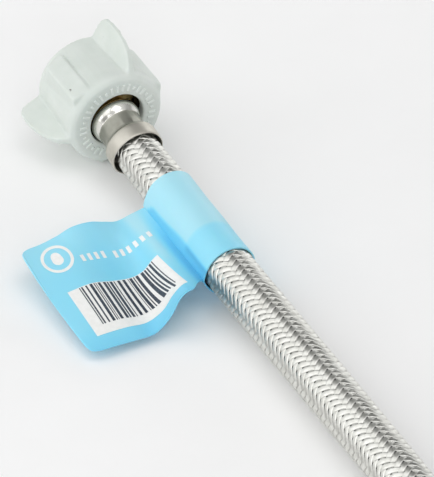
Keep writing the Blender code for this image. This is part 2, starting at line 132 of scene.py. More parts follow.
def route_height(x):
    """Height of the hose's centre line, the same smooth curve as the frame's."""
    last = len(ROUTE) - 2
    i = next((k for k in range(last) if x < ROUTE[k + 1][0]), last)
    before, start = ROUTE[max(i - 1, 0)], ROUTE[i]
    end, after = ROUTE[i + 1], ROUTE[min(i + 2, last + 1)]
    span = end[0] - start[0]
    slope_in = (end[1] - before[1]) / (end[0] - before[0])
    slope_out = (after[1] - start[1]) / (after[0] - start[0])
    t = (x - start[0]) / span
    return (start[1] * (2 * t ** 3 - 3 * t ** 2 + 1) + end[1] * (3 * t ** 2 - 2 * t ** 3)
            + span * (slope_in * (t ** 3 - 2 * t ** 2 + t) + slope_out * (t ** 3 - t ** 2)))


def squeeze(x):
    """How much the ferrules reduce the braid's radius at a station."""
    past = max(0.0, min(x - HOSE_START, HOSE_END - x) - CRIMPED_LENGTH)
    quick = BRAID_RADIUS - CRIMP_RADIUS - LATE_SWELL
    return (quick * (1.0 - min(past / 8.0, 1.0)) ** 2
            + LATE_SWELL * (1.0 - min(past / 60.0, 1.0)) ** 1.5)


# ---------------------------------------------------------------- camera

def add_camera():
    turn, height = math.radians(CAMERA_TURN), math.radians(CAMERA_HEIGHT)
    right = Vector((math.cos(turn), math.sin(turn), 0.0))
    up = Vector((-math.sin(height) * math.sin(turn), math.sin(height) * math.cos(turn),
                 math.cos(height)))
    back = right.cross(up)
    data = bpy.data.cameras.new("camera")
    data.lens = LENS
    data.sensor_width = 36.0
    distance = VIEW_HEIGHT * MM * LENS / data.sensor_width
    data.clip_start = 0.05
    data.clip_end = 2.5 * distance
    camera = bpy.data.objects.new("camera", data)
    bpy.context.collection.objects.link(camera)
    target = (place(0, NUT_A_Y, NUT_A_AXIS)
              + (right * VIEW_RIGHT - up * VIEW_DOWN + back * VIEW_NEAR) * MM)
    camera.location = target + back * distance
    camera.rotation_mode = "QUATERNION"
    camera.rotation_quaternion = (-back).to_track_quat("-Z", "Y")
    bpy.context.scene.camera = camera


# ---------------------------------------------------------------- materials

class Paint:
    """One Principled material, and short ways to build its nodes."""

    def __init__(self, name, colour, metallic, roughness, **sockets):
        self.material = bpy.data.materials.new(name)
        self.material.use_nodes = True
        self.tree = self.material.node_tree
        self.shader = self.tree.nodes["Principled BSDF"]
        self.coordinates = self.tree.nodes.new("ShaderNodeTexCoord").outputs
        self.put("Base Color", (*colour, 1.0))
        self.put("Metallic", metallic)
        self.put("Roughness", roughness)
        for socket, value in sockets.items():
            self.put(socket.replace("_", " "), value)

    def put(self, socket, value):
        self.plug(self.shader.inputs[socket], value)

    def plug(self, socket, value):
        if isinstance(value, bpy.types.NodeSocket):
            self.tree.links.new(value, socket)
        else:
            socket.default_value = value

    def node(self, kind, output, settings, **inputs):
        """A node's output; inputs go by name, or by number as _0, _1."""
        made = self.tree.nodes.new("ShaderNode" + kind)
        for key, value in settings.items():
            setattr(made, key, value)
        for key, value in inputs.items():
            self.plug(made.inputs[int(key[1:]) if key[1:].isdigit() else key], value)
        return made.outputs[output]

    def stretched(self, scale):
        return self.node("Mapping", 0, {}, Vector=self.coordinates["Object"], Scale=scale)

    def noise(self, scale, detail=3.0):
        """Cloudy values about 0.5; scale is features per metre, one or three numbers."""
        scale = scale if isinstance(scale, tuple) else (scale,) * 3
        return self.node("TexNoise", 0, {}, Vector=self.stretched(scale), Scale=1.0,
                         Detail=detail)

    def maths(self, operation, a, b):
        return self.node("Math", 0, {"operation": operation}, _0=a, _1=b)

    def ramp(self, value, *stops):
        """stops are (position, grey or colour)."""
        made = self.tree.nodes.new("ShaderNodeValToRGB")
        self.tree.links.new(value, made.inputs[0])
        elements = made.color_ramp.elements
        while len(elements) < len(stops):
            elements.new(0.5)
        for element, (position, colour) in zip(elements, stops):
            element.position = position
            grey = isinstance(colour, (int, float))
            element.color = (colour, colour, colour, 1) if grey else (*colour, 1)
        return made.outputs[0]

    def mix(self, factor, a, b):
        """Mixes two colours, on the node's colour sockets: inputs 6 and 7, output 2."""
        made = self.tree.nodes.new("ShaderNodeMix")
        made.data_type = "RGBA"
        colour = [(*c, 1.0) if isinstance(c, tuple) else c for c in (a, b)]
        self.plug(made.inputs[0], factor)
        self.plug(made.inputs[6], colour[0])
        self.plug(made.inputs[7], colour[1])
        return made.outputs[2]

    def bump(self, height, depth, after=None):
        """Height 0 to 1 becomes relief of this many millimetres."""
        made = self.tree.nodes.new("ShaderNodeBump")
        made.inputs["Distance"].default_value = depth * MM
        self.tree.links.new(height, made.inputs["Height"])
        if after:
            self.tree.links.new(after, made.inputs["Normal"])
        self.put("Normal", made.outputs[0])
        return made.outputs[0]


def worn_metal(name, colour, tint, rough_low, rough_high, grain=(900, 900, 900)):
    """Metal with cloudy tarnish, uneven polish and fine scratches along the grain."""
    paint = Paint(name, colour, 1.0, rough_low)
    cloud = paint.noise(260.0, 3.0)
    paint.put("Base Color", paint.mix(paint.ramp(cloud, (0.35, 0.0), (0.75, 1.0)), colour, tint))
    scratch = paint.noise(grain, 6.0)
    paint.put("Roughness", paint.ramp(paint.maths("ADD", paint.maths("MULTIPLY", cloud, 0.5),
                                                  paint.maths("MULTIPLY", scratch, 0.5)),
                                      (0.35, rough_low), (0.65, rough_high)))
    paint.bump(scratch, 0.002)
    return paint.material


def make_materials():
    made = {}
    made["plastic"] = moulded_plastic("moulded_plastic", 0.0)
    # The ribs' copy of the plastic is paler: a painted highlight on the raised dashes
    made["raised"] = moulded_plastic("moulded_plastic_ribs_highlight", 0.09)
    speck = Paint("gate_speck", (0.20, 0.19, 0.17), 0.0, 0.7)
    cloud = speck.noise(4000.0, 4.0)
    speck.put("Base Color", speck.ramp(cloud, (0.35, (0.10, 0.09, 0.08)),
                                       (0.7, (0.42, 0.41, 0.37))))
    speck.bump(cloud, 0.04)
    made["speck"] = speck.material

    made["steel"] = worn_metal("polished_bead", (0.80, 0.79, 0.75), (0.70, 0.69, 0.64),
                               0.10, 0.17)
    made["barrel"] = worn_metal("crimped_barrel", (0.43, 0.425, 0.375), (0.33, 0.325, 0.285),
                                0.34, 0.45)
    made["satin"] = worn_metal("crimped_collar", (0.60, 0.58, 0.52), (0.52, 0.505, 0.445),
                               0.42, 0.52)
    # Near black: painted shade on the slip ring deep inside the wing nut
    made["brass_as_shade"] = worn_metal("brass_painted_dark_as_shade", (0.095, 0.062, 0.026), (0.035, 0.026, 0.016),
                              0.35, 0.55)
    made["nickel"] = worn_metal("nickel_plating", (0.78, 0.75, 0.70), (0.68, 0.645, 0.58),
                                0.10, 0.24)
    made["brass"] = worn_metal("machined_brass", (0.74, 0.55, 0.26), (0.58, 0.41, 0.18),
                               0.20, 0.38, (2500, 300, 300))

    wire = Paint("braid_wire", (0.80, 0.80, 0.77), 1.0, 0.42)
    cloud = wire.noise(500.0, 3.0)
    fine = wire.noise((5000, 5000, 5000), 2.0)
    wire.put("Base Color", wire.mix(wire.ramp(cloud, (0.3, 0.0), (0.7, 1.0)),
                                    (0.84, 0.84, 0.80), (0.70, 0.70, 0.655)))
    wire.put("Roughness", wire.ramp(fine, (0.3, 0.30), (0.7, 0.44)))
    wire.bump(fine, 0.01)
    made["wire"] = wire.material

    # Near black: painted shade in the gaps between the braid's strips
    yarn = Paint("yarn_weave_painted_shade", (0.012, 0.012, 0.012), 0.0, 0.9)
    strand = yarn.node("TexWave", 0, {}, Vector=yarn.stretched((1200, 1200, 1200)),
                       Scale=1.0, Distortion=2.0)
    yarn.put("Base Color", yarn.ramp(strand, (0.2, 0.006), (0.9, 0.03)))
    yarn.bump(strand, 0.08)
    made["yarn"] = yarn.material

    tube = Paint("tube_polymer", (0.60, 0.60, 0.57), 0.0, 0.4)
    cloud = tube.noise(300.0, 3.0)
    tube.put("Base Color", tube.mix(cloud, (0.66, 0.66, 0.62), (0.5, 0.5, 0.47)))
    tube.put("Roughness", tube.ramp(cloud, (0.3, 0.35), (0.7, 0.55)))
    tube.bump(cloud, 0.02)
    made["tube"] = tube.material

    rubber = Paint("seal_rubber", (0.02, 0.02, 0.02), 0.0, 0.6)
    bloom = rubber.noise(600.0, 5.0)
    rubber.put("Base Color", rubber.ramp(bloom, (0.35, 0.012), (0.75, 0.05)))
    rubber.put("Roughness", rubber.ramp(bloom, (0.3, 0.5), (0.7, 0.75)))
    rubber.bump(rubber.noise(2500.0, 3.0), 0.02)
    made["rubber"] = rubber.material

    made["film"] = film_material("label_film")
    made["film_loop"] = film_material("label_film_loop")

    ink = Paint("white_ink", (0.86, 0.90, 0.92), 0.0, 0.35)
    cloud = ink.noise(800.0, 4.0)
    ink.put("Base Color", ink.ramp(cloud, (0.3, (0.88, 0.885, 0.865)), (0.7, (0.94, 0.94, 0.925))))
    ink.put("Roughness", ink.ramp(cloud, (0.3, 0.28), (0.7, 0.42)))
    ink.bump(cloud, 0.01)
    made["white"] = ink.material
    ink = Paint("dark_ink", (0.03, 0.04, 0.06), 0.0, 0.4)
    cloud = ink.noise(2500.0, 4.0)
    ink.put("Base Color", ink.ramp(cloud, (0.35, (0.015, 0.02, 0.035)),
                                   (0.75, (0.09, 0.12, 0.16))))
    ink.put("Roughness", ink.ramp(cloud, (0.3, 0.3), (0.7, 0.5)))
    made["black"] = ink.material

    floor = Paint("floor_card", (0.96, 0.96, 0.96), 0.0, 0.85)
    cloud = floor.noise(60.0, 5.0)
    floor.put("Base Color", floor.ramp(cloud, (0.3, 0.955), (0.7, 0.97)))
    floor.put("Roughness", floor.ramp(cloud, (0.3, 0.8), (0.7, 0.9)))
    made["floor"] = floor.material
    return made


def moulded_plastic(name, painted_highlight):
    """Matt pale plastic with faint flow clouds, a fine grain and a little dirt. The second
    argument raises the whole colour, as a painted highlight.
    """
    plastic = Paint(name, (0.66, 0.72, 0.675), 0.0, 0.42,
                    Subsurface_Weight=0.12, Subsurface_Scale=0.0015, IOR=1.47)
    plastic.shader.inputs["Subsurface Radius"].default_value = (1.0, 1.0, 0.8)
    cloud = plastic.noise(140.0, 4.0)
    speck = plastic.noise(1500.0, 2.0)
    dirt = plastic.ramp(plastic.noise(900.0, 6.0), (0.68, 0.0), (0.8, 0.35))
    # Both colours are raised by the second argument, a painted highlight
    dark, light = ((r + painted_highlight, g + painted_highlight, b + painted_highlight) for r, g, b in (
        (0.655, 0.712, 0.668), (0.725, 0.772, 0.735)))
    colour = plastic.mix(plastic.ramp(cloud, (0.3, 0.0), (0.7, 1.0)), dark, light)
    plastic.put("Base Color", plastic.mix(dirt, colour, (0.47, 0.50, 0.46)))
    plastic.put("Roughness", plastic.ramp(speck, (0.3, 0.36), (0.7, 0.52)))
    plastic.bump(speck, 0.012, plastic.bump(cloud, 0.08))
    return plastic.material


def film_material(name):
    """Printed plastic film: light blue, with a stronger tone where the print is denser and where
    shade is painted in, and paler where light is painted in.
    """
    paint = Paint(name, (0.35, 0.72, 0.92), 0.0, 0.5, Coat_Weight=0.12, Coat_Roughness=0.3,
                  Subsurface_Weight=0.08, Subsurface_Scale=0.002)
    cloud = paint.noise(70.0, 3.0)
    fine = paint.noise(1400.0, 3.0)
    # tone holds print tone together with painted light and shade
    tone = paint.node("Attribute", 2, {"attribute_name": "tone"})
    tone = paint.maths("ADD", tone, paint.maths("MULTIPLY", paint.maths("SUBTRACT", cloud, 0.5),
                                                0.10))
    paint.put("Base Color", paint.ramp(
        tone, (0.0, (0.105, 0.47, 0.73)), (0.25, (0.162, 0.61, 0.89)),
        (0.5, (0.235, 0.71, 0.93)), (0.75, (0.314, 0.75, 0.92)), (1.0, (0.43, 0.785, 0.90))))
    paint.put("Roughness", paint.ramp(fine, (0.3, 0.42), (0.7, 0.58)))
    paint.bump(fine, 0.008, paint.bump(cloud, 0.06))
    return paint.material


# ---------------------------------------------------------------- mesh tools

def add_object(name, mesh, materials, body, nodes):
    made = bpy.data.objects.new(name, mesh)
    bpy.context.collection.objects.link(made)
    for material in materials:
        mesh.materials.append(material)
    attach(made, body)
    if nodes:
        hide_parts(*nodes)
    return made


def grid_mesh(name, points, faces, sharp, indices=None):
    """A mesh from points in metres; its faces are turned outward and shaded smooth."""
    mesh = bpy.data.meshes.new(name)
    mesh.from_pydata([tuple(p) for p in points], [], faces)
    mesh.update()
    if indices is not None:
        mesh.polygons.foreach_set("material_index", indices)
    shape = bmesh.new()
    shape.from_mesh(mesh)
    bmesh.ops.recalc_face_normals(shape, faces=shape.faces)
    shape.to_mesh(mesh)
    shape.free()
    mesh.shade_smooth()
    mesh.set_sharp_from_angle(angle=math.radians(sharp))
    return mesh


def turned(name, outline, sides, move, facets, sharp, indices):
    """A closed (x, radius) outline round the X axis; facets(x, radius, angle) is added to
    the radius, and indices holds a material for each side of the outline."""
    count = len(outline)
    points = []
    for k in range(sides):
        angle = math.tau * k / sides
        for x, radius in outline:
            r = radius + facets(x, radius, angle)
            points.append(move((x, r * math.cos(angle), r * math.sin(angle))))
    faces = []
    slots = []
    for k in range(sides):
        a, b = k * count, (k + 1) % sides * count
        for i in range(count):
            j = (i + 1) % count
            faces.append((a + i, a + j, b + j, b + i))
            slots.append(indices[i])
    return grid_mesh(name, points, faces, sharp, slots)


# Threads in the nuts, as in the frame: root radius, depth, pitch, turns, start and end of
# the threaded wall from the nut's own origin
WING_THREAD = (11.15, 0.9, 25.4 / 14, 6.0, 1.6, 12.3)
HEX_THREAD = (7.2, 0.55, 25.4 / 24, 5.6, 7.0, NUT_B_LENGTH - 0.8)


def on_thread(point, origin, root, depth, pitch, turns, start, end):
    """Puts a point of a socket's wall on a smooth helical thread. The region is a little
    larger than the thread, so that no point of a softened crest is missed; a crest and its
    flank take 0.04 and 0.36 of the pitch."""
    x, y, z = (point - origin) / MM
    reach = math.hypot(y, z)
    if not (start - 0.5 < x < end and root - depth - 0.35 < reach < root + 0.3):
        return point
    share = math.atan2(z, y) / math.tau
    turn = round((x - start) / pitch - share) + share
    off = abs(x - start - pitch * turn) / pitch
    height = depth * smooth(min(turn, turns - turn) / 0.6) * (1.0 - smooth((off - 0.04) / 0.36))
    return origin + Vector((x, y / reach * (root - height), z / reach * (root - height))) * MM


BLEND_PASSES = 14


def refined(name, node, voxel, passes, thread, blend_region=None):
    """A copy of a CAD part's mesh with softer facets and edges, as moulding or plating
    leaves them. Points in blend_region are smoothed further."""
    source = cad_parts[node]
    mesh = source.data.copy()
    mesh.name = name
    mesh.materials.clear()
    made = bpy.data.objects.new(name, mesh)
    bpy.context.collection.objects.link(made)
    remesh = made.modifiers.new("remesh", "REMESH")
    remesh.mode = "VOXEL"
    remesh.voxel_size = voxel * MM
    remesh.use_smooth_shade = True
    soften = made.modifiers.new("soften", "SMOOTH")
    soften.factor = 0.5
    soften.iterations = passes
    bpy.context.view_layer.update()
    graph = bpy.context.evaluated_depsgraph_get()
    final = bpy.data.meshes.new_from_object(made.evaluated_get(graph))
    final.name = name
    bpy.data.objects.remove(made)
    shape = bmesh.new()
    shape.from_mesh(final)
    if blend_region:
        chosen = [v for v in shape.verts if blend_region(v.co)]
        for step in range(BLEND_PASSES):
            bmesh.ops.smooth_vert(shape, verts=chosen, factor=0.5, use_axis_x=True,
                                  use_axis_y=True, use_axis_z=True)
    for vertex in shape.verts:
        vertex.co = on_thread(vertex.co, *thread)
    shape.to_mesh(final)
    shape.free()
    final.shade_smooth()
    return final


# ---------------------------------------------------------------- braid

CARRIERS = 12                   # strips of wire in each direction
LEAD = 27.1                     # length of hose that one strip needs for a turn
STRIP_WIDTH = 1.62
WIRES = 5                       # wires side by side in a strip
WIRE_RISE = 0.09                # how far a wire's crown stands over its valleys
WEAVE_RISE = 0.36               # radius between a strip on top and one beneath
STRIP_DEPTH = 0.24
WANDER = 0.03                   # how far a strip wanders from its line and back
UNEVEN = 0.015                  # spread of the strips' places
WIRE_UNEVEN = 0.01              # spread of the wires' heights
BRAID_MIDDLE = 6.75             # radius that the strips' slope is worked out for
BRAID_TURN = math.radians(31.2)
CROSSING = 0.5 * LEAD / CARRIERS    # length of hose from one crossing strip to the next


def strip_section():
    """Across a strip: (offset, depth below its crown) for each point of the outline."""
    points = []
    for i in range(2 * WIRES + 1):
        share = i / (2 * WIRES) - 0.5
        valley = WIRE_RISE if i % 2 == 0 else 0.0
        edge = 0.11 * (2 * share) ** 4
        points.append((share * STRIP_WIDTH, valley + edge))
    points[0] = (-0.5 * STRIP_WIDTH, STRIP_DEPTH)
    points[-1] = (0.5 * STRIP_WIDTH, STRIP_DEPTH)
    return points


def braid_mesh():
    """Strips of wires that pass over two and under two; also the cord's path and length."""
    stations = np.linspace(HOSE_START, HOSE_END, 800)
    heights = np.array([route_height(x) for x in stations])
    travel = np.concatenate(([0.0], np.cumsum(np.hypot(np.diff(stations), np.diff(heights)))))
    slopes = np.gradient(heights, stations)
    skins = np.array([BRAID_RADIUS - squeeze(x) for x in stations])
    total = travel[-1]
    section = np.array(strip_section())
    lean = math.atan(math.tau * BRAID_MIDDLE / LEAD)
    rng = np.random.default_rng(7)
    points = []
    faces = []
    base = 0
    for family in (1, -1):
        for carrier in range(CARRIERS):
            first = CROSSING * (0.5 * family - 2 * carrier)
            spots = first + CROSSING * 2 / 3 * np.arange(-5, 3 * total)
            spots = spots[(spots > 0.2) & (spots < total - 0.2)]
            along = np.concatenate(([0.0], spots, [total]))[:, None]
            drift = WANDER * np.sin(along / 9.0 + rng.uniform(0, 6.3)) + rng.normal(0, UNEVEN)
            across = section[:, 0][None, :] + drift
            s = np.clip(along - across * math.sin(lean), 0.0, total)
            turn = (BRAID_TURN + math.tau * carrier / CARRIERS * family
                    + family * (math.tau * along / LEAD + across * math.cos(lean) / BRAID_MIDDLE))
            other = CARRIERS / math.tau * (family * (turn - BRAID_TURN) + math.tau * s / LEAD)
            phase = carrier + other - 0.5 * family
            lift = family * np.tanh(2.0 * np.cos(0.5 * math.pi * phase)) / math.tanh(2.0)
            skin = np.interp(s, travel, skins)
            wires = rng.normal(0, WIRE_UNEVEN, len(section))[None, :]
            radius = skin - 0.5 * WEAVE_RISE * (1.0 - lift) - section[:, 1][None, :] + wires
            x = np.interp(s, travel, stations)
            z = np.interp(s, travel, heights)
            tilt = np.arctan(np.interp(s, travel, slopes))
            side = radius * np.cos(turn)
            high = radius * np.sin(turn)
            cloud = np.stack([x - high * np.sin(tilt), side, z + high * np.cos(tilt)], axis=-1)
            points.append(cloud.reshape(-1, 3))
            count = len(section)
            steps = len(along) - 1
            for k in range(steps):
                a = base + k * count
                for i in range(count):
                    j = (i + 1) % count
                    faces.append((a + i, a + j, a + count + j, a + count + i))
            faces.append(tuple(range(base, base + count)))
            faces.append(tuple(range(base + steps * count, base + (steps + 1) * count)))
            base += (steps + 1) * count
    cloud = np.concatenate(points) * MM + np.array(ORIGIN)
    mesh = grid_mesh("braid", cloud, faces, 80.0)
    path = [tuple(place(x, 0.0, route_height(x))) for x in np.linspace(HOSE_START, HOSE_END, 200)]
    return mesh, path, total * MM


# ---------------------------------------------------------------- ferrules

def ferrule_outline(neck):
    """Depth, radius and finish from the closed end: bead, crimped barrel, flared collar."""
    bead = [
        (0.02, 5.7, 0), (0.08, 6.1, 0), (0.22, 6.42, 0), (0.45, 6.68, 0), (0.8, 6.88, 0),
        (1.2, 6.98, 0), (1.65, 7.0, 0), (2.1, 6.97, 0), (2.6, 6.88, 0), (3.1, 6.72, 0),
        (3.55, 6.52, 0), (3.95, 6.3, 0), (4.25, 6.14, 1)]
    outer = bead + [
        (4.7, 6.06, 1), (5.4, 6.06, 1), (6.4, 6.05, 1), (7.4, 6.06, 1),
        (8.4, 6.08, 1), (9.2, 6.12, 1), (9.55, 6.25, 2), (9.85, 6.6, 2), (10.1, 7.0, 2),
        (10.35, 7.3, 2), (10.65, 7.5, 2), (11.0, 7.58, 2), (12.0, 7.6, 2), (13.2, 7.6, 2),
        (14.4, 7.6, 2), (14.85, 7.58, 2), (15.05, 7.5, 2), (15.18, 7.36, 2),
        (15.1, 7.22, 2), (14.9, 7.15, 1)]
    inner = [(10.9, 7.1, 1), (9.7, 5.6, 1), (0.9, 5.6, 1), (0.9, neck + 0.3, 1),
             (0.1, neck + 0.3, 1)]
    return outer + inner


JAWS = 14                       # flats round a crimped barrel
FLATNESS = 0.38                 # 0 is round, 1 is a full flat


def crimp_marks(depth, radius, angle):
    """Flats that the crimping jaws leave round the barrel, fading into bead and collar."""
    share = smooth((depth - 3.3) / 1.2) * smooth((9.9 - depth) / 0.8)
    from_middle = (angle * JAWS / math.tau) % 1.0 - 0.5
    flat = radius * (math.cos(math.pi / JAWS) / math.cos(from_middle * math.tau / JAWS) - 1.0)
    uneven = 0.03 * math.sin(5 * angle + 1.0)
    collar = smooth((depth - 10.0) / 0.6) * 0.03 * math.sin(7 * angle)
    return (share * (FLATNESS * flat + 0.04 + uneven) + collar) * (1.0 if radius > 5.8 else 0.0)


def ferrule(name, neck, move, node, looks):
    outline = ferrule_outline(neck)
    mesh = turned(name, [(d, r) for d, r, finish in outline], 144, move, crimp_marks, 50.0,
                  [finish for d, r, finish in outline])
    return add_object(name, mesh, [looks["steel"], looks["barrel"], looks["satin"]], "hose_line",
                      [node])


def on_stem(point):
    """From depths along the sloping stem axis, beginning at the ferrule's closed end."""
    x, y, z = point
    along = FERRULE_A_FACE - STEM_PIVOT + x
    return place(STEM_PIVOT + along * math.cos(STEM_SLOPE) + z * math.sin(STEM_SLOPE), y,
                 NUT_A_AXIS - along * math.sin(STEM_SLOPE) + z * math.cos(STEM_SLOPE))


def at_end_b(point):
    x, y, z = point
    return place(FERRULE_B_FACE - x, y, AXIS_B + z)


# ---------------------------------------------------------------- wing nut

RIBS = 38
RIB_REACHES = ((9.25, 11.5), (9.25, 11.5), (9.8, 10.9))     # two long, then a short one


def nut_ribs():
    """Plain raised dashes round the hole of the end face."""
    shape = bmesh.new()
    centre = place(0, NUT_A_Y, NUT_A_AXIS)
    for number in range(RIBS):
        inner, outer = RIB_REACHES[number % len(RIB_REACHES)]
        turn = Matrix.Rotation(math.tau * number / RIBS, 3, "X")
        rings = []
        for x, slope in ((-0.3, 0.0), (0.12, 0.04), (0.30, 0.16)):
            half = 0.42 - slope
            rings.append([shape.verts.new(
                centre + turn @ Vector((NUT_A_LENGTH + x, w, r)) * MM) for r, w in (
                    (inner + slope, -half), (outer - slope, -half),
                    (outer - slope, half), (inner + slope, half))])
        for low, high in zip(rings, rings[1:]):
            for i in range(4):
                shape.faces.new((low[i - 1], low[i], high[i], high[i - 1]))
        shape.faces.new(rings[0])
        shape.faces.new(rings[-1])
    bmesh.ops.recalc_face_normals(shape, faces=shape.faces)
    mesh = bpy.data.meshes.new("nut_ribs")
    shape.to_mesh(mesh)
    shape.free()
    return mesh


GATE_STATION = 16.3
GATE_REACH = 15.25              # from the nut's axis
GATE_TURN = math.radians(137.8)


def gate_mark():
    """The small rough mark that the mould's gate leaves on one grip pad."""
    turn = Matrix.Rotation(GATE_TURN, 3, "X")
    outline = [(0.42, -0.25), (0.42, 0.02), (0.34, 0.10), (0.26, 0.06), (0.0, 0.0)]
    points = []
    faces = []
    for k in range(16):
        angle = math.tau * k / 16
        for reach, rise in outline:
            wobble = reach * (1.0 + 0.2 * math.sin(3 * angle))
            at = Vector((GATE_STATION + wobble * math.cos(angle), GATE_REACH + rise,
                         0.7 * wobble * math.sin(angle)))
            points.append(place(0, NUT_A_Y, NUT_A_AXIS) + turn @ at * MM)
    count = len(outline)
    for k in range(16):
        a, b = k * count, (k + 1) % 16 * count
        for i in range(count - 1):
            faces.append((a + i, a + i + 1, b + i + 1, b + i))
    return grid_mesh("gate_mark", points, faces, 60.0)


# ---------------------------------------------------------------- label

LOOP_START = 53.2
LOOP_END = 88.2
LABEL_SHEET = 0.2               # thickness of the film
LABEL_OFFSET = 0.55             # from the braid's surface to the label's
LIP = 0.22                      # how much further the wrap's ends close in on the braid
FOLD_Y = -8.0
FOLD_Z = 9.7
FOLD_SLOPE = -0.04
FLAG_START = 53.7
FLAG_NECK_END = 88.0
FLAG_END = 95.0
FLAG_CORNER = 3.0
FLAG_REACH = 36.0
FLAG_NECK = 0.26                # share of the reach over which the sheet widens
LIT_SIDE_MIDDLE = 120.2            # middle of the wrap's paler, lit side, turned towards the camera, in degrees from +Y towards +Z
FLAG_SKIN = 0.16                # half of the flag's thickness
# Sections of the flag as (y, z) from its fold outward: at the side towards the wing nut,
# halfway, and at the other side
FLAG_SECTIONS = (
    ((-7.75, 10.2), (-12.0, 9.4), (-16.4, 8.6), (-20.4, 9.9), (-24.9, 11.5), (-30.2, 11.7),
     (-34.6, 10.2), (-40.0, 9.1), (-46.0, 9.0)),
    ((-7.75, 9.7), (-12.4, 10.1), (-15.2, 8.8), (-18.0, 5.8), (-21.6, 4.5), (-27.2, 5.3),
     (-33.6, 7.0), (-40.0, 6.7), (-46.2, 5.8)),
    ((-7.75, 9.2), (-11.8, 12.0), (-15.2, 14.0), (-18.6, 12.3), (-21.6, 7.1), (-26.1, 3.2),
     (-32.0, 3.0), (-38.8, 3.4), (-45.5, 3.4)),
)


def curve_point(points, t):
    """A point on the smooth curve through evenly numbered points, t from 0 to 1."""
    last = len(points) - 1
    i = min(max(int(t * last), 0), last - 1)
    near = [Vector(points[min(max(k, 0), last)]) for k in (i - 1, i, i + 1, i + 2)]
    s = t * last - i
    slope_in, slope_out = (near[2] - near[0]) / 2, (near[3] - near[1]) / 2
    return (near[1] * (2 * s ** 3 - 3 * s ** 2 + 1) + near[2] * (3 * s ** 2 - 2 * s ** 3)
            + slope_in * (s ** 3 - 2 * s ** 2 + s) + slope_out * (s ** 3 - s ** 2))


def flag_range(out):
    """The flag's two edges as stations; out is 0 at the fold and 1 at the free edge."""
    inset = (FLAG_END - FLAG_NECK_END) * (1.0 - smooth(out / FLAG_NECK))
    to_corner = max(0.0, 1.0 - max(0.0, 1.0 - out) * FLAG_REACH / FLAG_CORNER)
    corner = FLAG_CORNER * (1.0 - math.sqrt(1.0 - to_corner ** 2))
    return FLAG_START + corner, FLAG_END - inset - corner


def flag_point(along, out):
    """The flag's middle surface: a loft through its three sections, with shaped edges."""
    first, middle, last = (curve_point(section, out) for section in FLAG_SECTIONS)
    y, z = (first * (1 - along) * (1 - 2 * along) + middle * 4 * along * (1 - along)
            + last * along * (2 * along - 1))
    return Vector((lerp(*flag_range(out), along), y, z))


def flag_skin(along, out, lift):
    """A point this far above the flag's middle surface."""
    here = flag_point(along, out)
    ahead = flag_point(along, out + 0.002) - flag_point(along, out - 0.002)
    beside = flag_point(along + 0.002, out) - flag_point(along - 0.002, out)
    return here + ahead.cross(beside).normalized() * lift


def print_point(x, y, lift):
    """A point on the printed side, at a station along the hose and a distance across it."""
    along = 0.5
    for step in range(3):           # each step finds out for this along, then corrects along
        low, high = 0.0, 1.0
        for half in range(16):
            out = 0.5 * (low + high)
            if flag_point(along, out).y > y:
                low = out
            else:
                high = out
        edges = flag_range(out)
        along = (x - edges[0]) / (edges[1] - edges[0])
    return flag_skin(along, out, lift)


def tone_attribute(mesh, values):
    layer = mesh.attributes.new("tone", "FLOAT", "POINT")
    layer.data.foreach_set("value", values)


def hump(value, middle, width):
    return math.exp(-((value - middle) / width) ** 2)


def flag_print_and_shade(point):
    """Print tone with painted light and shade: paler near the wing nut, a painted highlight along
    the neck, painted shade in bands along the sheet's waves and in the crease at the fold, and
    deeper blue towards the hose's far end.
    """
    x, y = point.x, point.y
    tone = 0.60 + 0.16 * (1.0 - smooth((x - 55.0) / 15.0)) - 0.22 * smooth((x - 84.0) / 12.0)
    # Painted highlight along the neck
    tone += 0.32 * hump(y, -12.5, 2.4) * (1.0 - smooth((x - 70.0) / 14.0))
    # Painted shade in bands along the sheet's waves
    tone -= 0.10 * hump(y, -26.0, 4.0) + 0.08 * hump(y, -15.5, 1.5)
    # Painted shade in the crease at the fold, deeper further from the wing nut
    return tone - 0.48 * smooth((y + 12.0) / 3.0) * lerp(0.15, 1.0, smooth((x - 54.0) / 22.0))


def loop_print_and_shade(x, turn):
    """Print tone with painted light and shade. turn is the angle from the middle of the wrap's lit
    side, which fades in softly; the side turned away, towards the fold and underneath, is painted
    darker as shade, and the wrap is darker past station 75.6.
    """
    edge = lerp(-88.0, -50.0, smooth((x - 53.0) / 5.0)) + 12.0 * smooth((x - 58.0) / 18.0)
    # Paler on the lit side and darker away from it: painted light and shade, with print tone
    tone = lerp(0.30, 0.97, smooth((turn - edge + 6.0) / 12.0))
    tone -= 0.30 * smooth((x - 75.6) / 1.6) * smooth((turn + 60.0) / 20.0)
    # Painted shade deepens the underside towards the fold
    return tone - 0.2 * smooth((-62.0 - turn) / 20.0)


def flag_mesh():
    rows, columns = 40, 110
    points = []
    tones = []
    for side in (1.0, -1.0):
        for row in range(rows + 1):
            for column in range(columns + 1):
                along, out = row / rows, column / columns
                point = flag_skin(along, out, side * FLAG_SKIN)
                points.append(place(*point))
                tones.append(flag_print_and_shade(point))
    faces = []
    width = columns + 1
    back = (rows + 1) * width
    for row in range(rows):
        for column in range(columns):
            a = row * width + column
            faces.append((a, a + 1, a + width + 1, a + width))
            faces.append((back + a, back + a + width, back + a + width + 1, back + a + 1))
    for column in range(columns):
        for a in (column, rows * width + column):
            faces.append((a, a + 1, back + a + 1, back + a))
    for row in range(rows):
        for a in (row * width, row * width + columns):
            faces.append((a, a + width, back + a + width, back + a))
    mesh = grid_mesh("flag", points, faces, 50.0)
    tone_attribute(mesh, tones)
    return mesh


